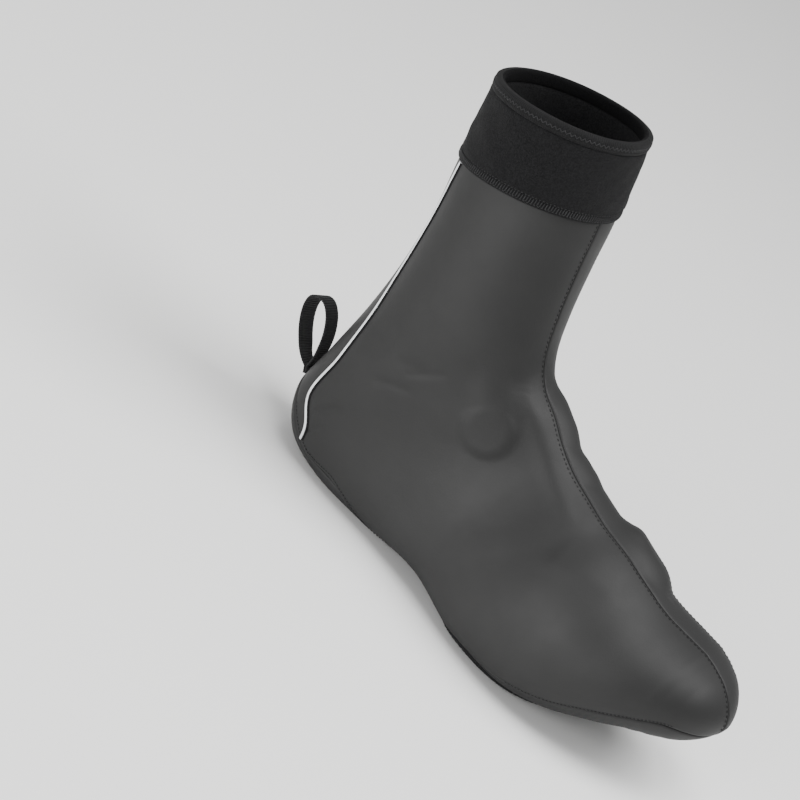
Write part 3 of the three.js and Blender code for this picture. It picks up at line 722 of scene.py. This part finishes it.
def makeCuff():
    top, proud, wall = rowsUp(form["bindingHeight"]), form["cuffProud"], form["wall"]
    hemTop = 1 - rowsUp(form["hemHeight"] + form["gap"])
    outer = [(1 - rowsUp(d), h) for d, h in ((-0.2, 0.35), (-0.25, 0.9), (0.3, 1.35), (1.0, 1.5), (2.4, 1.45),
                                             (3.6, 1.2), (4.8, 1.15), (5.6, 1.5), (6.6, 1.75))]
    up = [(1 - rowsUp(d), 1.75) for d in np.arange(8, form["cuffHeight"] - form["bindingHeight"], 1.5)]
    section = outer + up + [(top + 0.01, 1.55), (top, 1.2), (top, -wall)]
    section += [(u, -wall) for u in np.linspace(top + 0.05, hemTop, 14)]
    section += [(hemTop, 0.3)] + [(u, 0.3) for u in (0.9, 0.96)]

    def nap(u, angle, outside):
        soft = 0.16 * np.sin(9 * angle + 14 * u) + 0.12 * np.sin(17 * angle - 23 * u + 1.3)
        return soft * (1 if outside > 1.3 and u < 0.85 else 0.2)

    piece = bandPiece("cuffFleece", section, cuff["around"], [looks["cuff"]], nap)
    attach(piece, "root")
    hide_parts("cuff")

    rimOut = proud + form["bindingProud"]
    inner = -wall - form["bindingProud"] * 0.6
    section = [(top + 0.004, 1.3), (top - 0.004, rimOut * 0.86), (top - 0.03, rimOut), (top * 0.75, rimOut * 0.97),
               (top * 0.5, rimOut * 0.93), (top * 0.3, rimOut * 0.98), (rowsUp(1.1), rimOut * 0.96),
               (rowsUp(0.55), rimOut * 0.75), (rowsUp(0.2), rimOut * 0.4), (0, 0), (0, -0.8), (rowsUp(0.2), -1.7),
               (rowsUp(0.7), inner * 0.9), (rowsUp(1.4), inner), (top * 0.6, inner), (top - 0.01, inner),
               (top, -wall - 0.1)]
    sides = [0] * 10 + [1] * (len(section) - 10)  # its inner side gets the near-black lining look as painted shade inside the collar; the real binding wraps round both sides
    piece = bandPiece("cuffRimBinding", section, cuff["around"], [looks["binding"], looks["lining"]], lookOf=sides)
    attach(piece, "root")
    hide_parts("cuff_binding")
    print("cuff made")


makeCuff()

# Cleat opening's binding: an elastic ring, soft over its width, round the oval
ring = {"around": 260, "across": [0.1, 0.5, 1.2, 2.2, 3.6, 5.0, 6.4, 7.4, 8.1, 8.4],
        "high": [0.0, 0.45, 0.75, 0.85, 0.7, 0.72, 0.8, 0.6, 0.25, -0.2]}


# Row and angle of the sole's surface at a place in plan, by closing in on it
def solePlace(x, y):
    u = np.interp(x, [-30, 30, 68, 104, 137, 164, 189, 209, 236], [7.2, 9, 10, 11, 12, 13, 14, 15, 15.9])
    angle = np.full_like(u, math.pi)
    for _ in range(40):
        p = plainPoints(u, angle)
        s = sectionsAt(u)
        half = np.where(y < s["shift"], s["lateral"], s["medial"])
        share = np.clip((s["shift"] - y) / half, -0.97, 0.97)
        height = (1 - np.abs(share) ** s["under"]) ** (1 / s["under"])
        angle = math.pi - np.arctan2(share, height)
        slope = (plainPoints(u + 0.01, angle)[:, 0] - plainPoints(u - 0.01, angle)[:, 0]) / 0.02
        u = np.clip(u + np.clip((x - p[:, 0]) / np.maximum(slope, 8), -0.3, 0.3), 5, tip - 0.01)
    return u, angle


def makeRing():
    turn = np.linspace(0, 2 * math.pi, ring["around"], endpoint=False)
    under = [-form["wall"] - 0.4] * 4
    profile = list(zip(ring["across"], ring["high"])) + list(zip([8.4, 6.0, 2.5, 0.1], under))
    columns = []
    for across, outside in profile:
        x = form["openingCentre"] + (form["openingLength"] / 2 + across) * np.cos(turn)
        y = form["openingAside"] + (form["openingWidth"] / 2 + across) * np.sin(turn)
        u, angle = solePlace(x, y)
        points, _ = surfaceAt(u, angle, np.full(len(u), float(outside)))
        columns.append(points)
    points = np.stack(columns, 1)
    faces = gridFaces(len(turn), len(profile), closeRings=True)
    piece = meshPiece("cleatOpeningBinding", points.reshape(-1, 3), faces, [looks["binding"]])
    length = np.concatenate([[0], np.cumsum(np.linalg.norm(np.diff(points[:, 4], axis=0), axis=1))])
    addAlong(piece, np.repeat(length, len(profile)))
    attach(piece, "root")
    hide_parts("cleat_opening_binding")
    print("ring made")


makeRing()

# Pull loop: one length of ribbed tape, folded, with both ends sewn to the back of the heel
loop = {"width": 11, "thick": 1.0, "height": 37, "bulge": 10.8, "stem": 4, "lean": 27, "twist": 17, "splay": -9,
        "steps": 150, "ribMm": 1.35, "ribHigh": 0.055}


def bezier(a, b, c, d, t):
    t = t[:, None]
    return (1 - t) ** 3 * a + 3 * (1 - t) ** 2 * t * b + 3 * (1 - t) * t * t * c + t ** 3 * d


def makeLoop():
    u = np.linspace(3, 8, 2000)
    back, _ = surfaceAt(u, np.full_like(u, math.pi))
    row = u[np.where(back[:, 2] > form["stripTop"])[0].max()]
    lean = math.radians(loop["lean"])
    off = 2 * form["gap"] + loop["stem"] * math.sin(lean) + 1.1 * math.cos(lean)
    seat = surfaceAt(np.array([row]), np.array([math.pi]), np.array([off]))[0][0]
    up = np.array([-math.sin(lean), 0, math.cos(lean)])
    half, high = 0.56, loop["height"] - 0.5
    a, b = np.array([half, 0.0]), np.array([loop["bulge"], loop["height"] * 0.34])
    c, d = np.array([loop["bulge"], high]), np.array([0.0, high])
    t = np.linspace(0, 1, loop["steps"] // 2)
    arm = np.vstack([np.array([[half, -loop["stem"]], [half, -loop["stem"] * 0.5]]), bezier(a, b, c, d, t)])
    path = np.vstack([arm, (arm * [-1, 1])[::-1][1:]])
    run = np.gradient(path, axis=0)
    run /= np.linalg.norm(run, axis=1)[:, None]
    outward = np.stack([run[:, 1], -run[:, 0]], 1)
    length = np.concatenate([[0], np.cumsum(np.linalg.norm(np.diff(path, axis=0), axis=1))])
    fine = np.arange(0, length[-1], loop["ribMm"] / 6)
    path = np.stack([np.interp(fine, length, path[:, k]) for k in (0, 1)], 1)
    outward = np.stack([np.interp(fine, length, outward[:, k]) for k in (0, 1)], 1)
    rib = loop["ribHigh"] * np.sin(2 * math.pi * fine / loop["ribMm"])
    w, thick = loop["width"] / 2, loop["thick"] / 2
    profile = [(-w, -0.25), (-w + 0.4, -1), (-w * 0.5, -1), (0, -1), (w * 0.5, -1), (w - 0.4, -1), (w, -0.25),
               (w, 0.25), (w - 0.4, 1), (w * 0.5, 1), (0, 1), (-w * 0.5, 1), (-w + 0.4, 1), (-w, 0.25)]
    points = []
    for aside, h in profile:
        flat = path + outward * ((thick + (rib if abs(aside) < w else 0 * rib)) * h)[:, None]
        height = flat[:, 1]
        splay = loop["splay"] * smoothstep(-loop["bulge"] / 2, loop["bulge"] / 2, flat[:, 0])
        twist = np.radians(loop["twist"] + splay) * smoothstep(0, loop["height"] / 3, height)
        width = np.stack([-np.sin(twist), -np.cos(twist), np.zeros_like(twist)], 1)
        side = np.cross(up, width)
        side /= np.linalg.norm(side, axis=1)[:, None]
        points.append(seat + side * flat[:, :1] + up * height[:, None] + width * aside)
    points = np.stack(points, 1)
    n, m = points.shape[:2]
    faces = gridFaces(n, m)
    faces += [tuple(range(m))[::-1], tuple((n - 1) * m + j for j in range(m))]
    piece = meshPiece("pullLoop", points.reshape(-1, 3), faces, [looks["tape"]])
    addAlong(piece, np.repeat(fine, m))
    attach(piece, "root")
    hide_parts("pull_loop")
    print("loop made")


makeLoop()


# Stitches: a tree that lays one small rounded stitch at each step of a sewn line
def stitchTree():
    tree = bpy.data.node_groups.new("sewnLine", "GeometryNodeTree")
    face = tree.interface
    face.new_socket("Geometry", in_out="INPUT", socket_type="NodeSocketGeometry")
    sizes = {"Spacing": 0.003, "Stitch length": 0.002, "Stitch width": 0.0005, "Stitch height": 0.0003,
             "Turn": 0.0, "Zigzag": 0.0}
    for name, value in sizes.items():
        face.new_socket(name, in_out="INPUT", socket_type="NodeSocketFloat").default_value = value
    face.new_socket("Thread", in_out="INPUT", socket_type="NodeSocketMaterial")
    face.new_socket("Geometry", in_out="OUTPUT", socket_type="NodeSocketGeometry")
    given = addNode(tree, "NodeGroupInput")
    curve = addNode(tree, "GeometryNodeMeshToCurve", links={"Mesh": given.outputs["Geometry"]})
    even = addNode(tree, "GeometryNodeResampleCurve", {"mode": "LENGTH"},
                   links={"Curve": curve.outputs[0], "Length": given.outputs["Spacing"]})
    out = addNode(tree, "GeometryNodeInputNamedAttribute", {"data_type": "FLOAT_VECTOR"}, {"Name": "out"})
    run = addNode(tree, "GeometryNodeInputTangent")
    number = addNode(tree, "GeometryNodeInputIndex")
    parity = addNode(tree, "ShaderNodeMath", {"operation": "MODULO"}, {1: 2}, {0: number.outputs[0]})
    sign = addNode(tree, "ShaderNodeMath", {"operation": "MULTIPLY_ADD"}, {1: 2, 2: -1}, {0: parity.outputs[0]})
    swing = addNode(tree, "ShaderNodeMath", {"operation": "MULTIPLY"},
                    links={0: sign.outputs[0], 1: given.outputs["Zigzag"]})
    turn = addNode(tree, "ShaderNodeMath", {"operation": "ADD"},
                   links={0: swing.outputs[0], 1: given.outputs["Turn"]})
    aim = addNode(tree, "ShaderNodeVectorRotate", {"rotation_type": "AXIS_ANGLE"},
                  links={"Vector": run.outputs[0], "Axis": out.outputs[0], "Angle": turn.outputs[0]})
    stand = addNode(tree, "FunctionNodeAxesToRotation", {"primary_axis": "Z", "secondary_axis": "X"},
                    links={"Primary Axis": out.outputs[0], "Secondary Axis": aim.outputs[0]})
    half = addNode(tree, "ShaderNodeCombineXYZ", links={"X": given.outputs["Stitch length"],
                                                       "Y": given.outputs["Stitch width"],
                                                       "Z": given.outputs["Stitch height"]})
    grain = addNode(tree, "GeometryNodeMeshUVSphere", values={"Segments": 8, "Rings": 5, "Radius": 0.5})
    place = addNode(tree, "GeometryNodeInstanceOnPoints",
                    links={"Points": even.outputs[0], "Instance": grain.outputs["Mesh"],
                           "Rotation": stand.outputs[0], "Scale": half.outputs[0]})
    real = addNode(tree, "GeometryNodeRealizeInstances", links={"Geometry": place.outputs[0]})
    thread = addNode(tree, "GeometryNodeSetMaterial",
                     links={"Geometry": real.outputs[0], "Material": given.outputs["Thread"]})
    addNode(tree, "NodeGroupOutput", links={0: thread.outputs[0]})
    return tree


sewnLine = stitchTree()


# One line of stitches along points on the form, as a plain mesh
def sewLine(name, points, out, sizes, thread, closed=False):
    n = len(points)
    edges = [(i, i + 1) for i in range(n - 1)] + ([(n - 1, 0)] if closed else [])
    mesh = bpy.data.meshes.new(name + "Line")
    mesh.from_pydata((np.asarray(points) * mm).tolist(), edges, [])
    mesh.attributes.new("out", "FLOAT_VECTOR", "POINT").data.foreach_set("vector", np.asarray(out, float).ravel())
    line = bpy.data.objects.new(name + "Line", mesh)
    bpy.context.scene.collection.objects.link(line)
    modifier = line.modifiers.new("sewn", "NODES")
    modifier.node_group = sewnLine
    sockets = {s.name: s.identifier for s in sewnLine.interface.items_tree if s.in_out == "INPUT"}
    for key, value in sizes.items():
        modifier[sockets[key]] = math.radians(value) if key in ("Turn", "Zigzag") else value * mm
    modifier[sockets["Thread"]] = thread
    bpy.context.view_layer.update()
    made = bpy.data.meshes.new_from_object(line.evaluated_get(bpy.context.evaluated_depsgraph_get()))
    line.modifiers.remove(modifier)
    bpy.data.objects.remove(line)
    return made, thread


def joinStitches(name, meshes):
    verts, faces, looksUsed, index = [], [], [], []
    for mesh, look in meshes:
        base = len(verts)
        verts += [v.co[:] for v in mesh.vertices]
        if look not in looksUsed:
            looksUsed.append(look)
        faces += [[base + k for k in p.vertices] for p in mesh.polygons]
        index += [looksUsed.index(look)] * len(mesh.polygons)
    piece = meshPiece(name, np.array(verts) / mm, faces, looksUsed, index)
    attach(piece, "root")
    return piece


# Stitch sizes in mm, turns in degrees
plainStitch = {"Spacing": 1.9, "Stitch length": 1.2, "Stitch width": 0.5, "Stitch height": 0.45}
ladderBar = {"Spacing": 1.45, "Stitch length": 3.3, "Stitch width": 0.62, "Stitch height": 0.75, "Turn": 78}
frontStitch = {"Spacing": 2.5, "Stitch length": 1.5, "Stitch width": 0.65, "Stitch height": 0.4}
zigzag = {"Spacing": 1.5, "Stitch length": 2.7, "Stitch width": 0.45, "Stitch height": 0.4, "Zigzag": 52}
rimZigzag = {"Spacing": 1.3, "Stitch length": 2.6, "Stitch width": 0.5, "Stitch height": 0.6, "Zigzag": 48}


# The angle where a seam's field has the given level, between an angle inside it and one outside
def seamAngle(u, field, level, inside, outside):
    near, far = np.full_like(u, inside), np.full_like(u, outside)
    for _ in range(24):
        middle = (near + far) / 2
        within = field(u, middle, plainPoints(u, middle)) > level
        near, far = np.where(within, middle, near), np.where(within, far, middle)
    return near


def makeStitches():
    u = np.linspace(1.0, 15.85, 900)
    lateral = tableAt(u, seams["frontRow"], seams["frontLateral"])
    medial = tableAt(u, seams["frontRow"], seams["frontMedial"])
    front = []
    for name, y, rise in (("lateral", lateral + 1.7, 0.12), ("medial", -medial - 1.7, 0.04)):
        points, out = surfaceAt(u, angleOnTop(u, y), rise)
        front.append(sewLine(name, points, out, frontStitch, looks["darkThread"]))
    joinStitches("frontSeamStitches", front)

    # Above the toe seam and beside the heel strip, on both sides
    edge = []
    for field, first, last in ((toeField, 12.3, 15.3), (stripField, 6.35, 10.2)):
        for outside in (math.pi / 2, 3 * math.pi / 2):
            u = np.linspace(first, last, 300)
            points, out = surfaceAt(u, seamAngle(u, field, -1.1, math.pi, outside), 0.12)
            edge.append(sewLine("edge", points, out, plainStitch, looks["darkThread"]))
    joinStitches("edgeStitches", edge)

    angle = np.linspace(0, 2 * math.pi, 720, endpoint=False)
    hem = []
    for height, sizes, outside in ((2.9, ladderBar, 1.42), (1.2, plainStitch, 1.5), (4.9, plainStitch, 1.3)):
        points, out = surfaceAt(np.full_like(angle, 1 - rowsUp(height)), angle, np.full_like(angle, outside))
        hem.append(sewLine("hem", points, out, sizes, looks["thread"], closed=True))
    joinStitches("hemStitches", hem)

    points, out = surfaceAt(np.full_like(angle, rowsUp(3.3)), angle, np.full_like(angle, 2.12))
    rim = [sewLine("rim", points, out, rimZigzag, looks["thread"], closed=True)]
    joinStitches("rimStitches", rim)

    ringLines = []
    for across in (2.9, 6.0):
        x = form["openingCentre"] + (form["openingLength"] / 2 + across) * np.cos(angle)
        y = form["openingAside"] + (form["openingWidth"] / 2 + across) * np.sin(angle)
        su, sa = solePlace(x, y)
        points, out = surfaceAt(su, sa, np.full_like(su, 0.8))
        points[:, 2] = np.maximum(points[:, 2], 0.5)
        ringLines.append(sewLine("ring", points, out, zigzag, looks["thread"], closed=True))
    joinStitches("cleatOpeningStitches", ringLines)
    print("stitches made")


makeStitches()

# Studio: pale floor, one large soft light low in front, one above, one behind the toe, even pale surroundings
studio = {"floor": "#f6f6f5", "world": 0.46, "aim": (0.06, 0, 0.1)}
# azimuth and elevation in degrees, distance and sides in metres, watts
lights = {
    "keyLight": (-14, 9, 1.5, (0.9, 0.9), 26),
    "topLight": (0, 80, 1.5, (0.9, 0.9), 18),
    "farLight": (110, 58, 1.5, (0.9, 0.9), 22),
}


def areaLight(name, azimuth, elevation, distance, size, power):
    a, e, target = math.radians(azimuth), math.radians(elevation), Vector(studio["aim"])
    place = target + distance * Vector((math.sin(a) * math.cos(e), -math.cos(a) * math.cos(e), math.sin(e)))
    light = bpy.data.lights.new(name, "AREA")
    light.shape, light.size, light.size_y, light.energy = "RECTANGLE", size[0], size[1], power
    lamp = bpy.data.objects.new(name, light)
    bpy.context.scene.collection.objects.link(lamp)
    lamp.location = place
    lamp.rotation_euler = (target - place).to_track_quat("-Z", "Y").to_euler()


def makeStudio():
    size = 6.0
    mesh = bpy.data.meshes.new("floor")
    mesh.from_pydata([(-size, -size, 0), (size, -size, 0), (size, size, 0), (-size, size, 0)], [], [(0, 1, 2, 3)])
    floor = bpy.data.objects.new("floor", mesh)
    bpy.context.scene.collection.objects.link(floor)
    material, tree, shader = startMaterial("paleFloor")
    shader.inputs["Base Color"].default_value = linear(studio["floor"])
    shader.inputs["Roughness"].default_value = 0.7
    mesh.materials.append(material)
    world = bpy.data.worlds.new("paleStudio")
    world.use_nodes = True
    background = world.node_tree.nodes["Background"]
    background.inputs["Color"].default_value = (1, 1, 1, 1)
    background.inputs["Strength"].default_value = studio["world"]
    bpy.context.scene.world = world
    for name, (azimuth, elevation, distance, size, power) in lights.items():
        areaLight(name, azimuth, elevation, distance, size, power)


makeStudio()

# Camera, fitted to the outline: azimuth, elevation, roll clockwise, in degrees, distance and target in mm,
# mm in one pixel at the target, and the pixel where the target shows, in the 800 pixel frame
camera = {"azimuth": 13.3, "elevation": 23.5, "roll": 38.8, "distance": 1723.6, "target": (80, 0, 100),
          "mmPerPixel": 0.498, "targetPixel": (557.1, 439.8), "frame": 800, "sensor": 36}


def makeCamera():
    a, e, r = (math.radians(camera[k]) for k in ("azimuth", "elevation", "roll"))
    back = Vector((math.sin(a) * math.cos(e), -math.cos(a) * math.cos(e), math.sin(e)))
    right = Vector((math.cos(a), math.sin(a), 0))
    up = back.cross(right)
    place = (Vector(camera["target"]) + back * camera["distance"]) * mm
    focal = camera["distance"] / camera["mmPerPixel"]
    x, y = (camera["frame"] / 2 - p for p in camera["targetPixel"])
    x, y = x * math.cos(r) + y * math.sin(r), -x * math.sin(r) + y * math.cos(r)
    ahead = (right * (x / focal) - up * (y / focal) - back).normalized()
    level = (right - ahead * right.dot(ahead)).normalized()
    above = level.cross(ahead)
    tilted = level * math.cos(r) + above * math.sin(r)
    lens = bpy.data.cameras.new("camera")
    lens.sensor_width = camera["sensor"]
    lens.lens = camera["sensor"] * focal / camera["frame"]
    lens.clip_start, lens.clip_end = 0.05, 50
    body = bpy.data.objects.new("camera", lens)
    bpy.context.scene.collection.objects.link(body)
    axes = Matrix((tilted, (-ahead).cross(tilted), -ahead)).transposed()
    body.matrix_world = Matrix.Translation(place) @ axes.to_4x4()
    bpy.context.scene.camera = body


makeCamera()
print("studio ready")
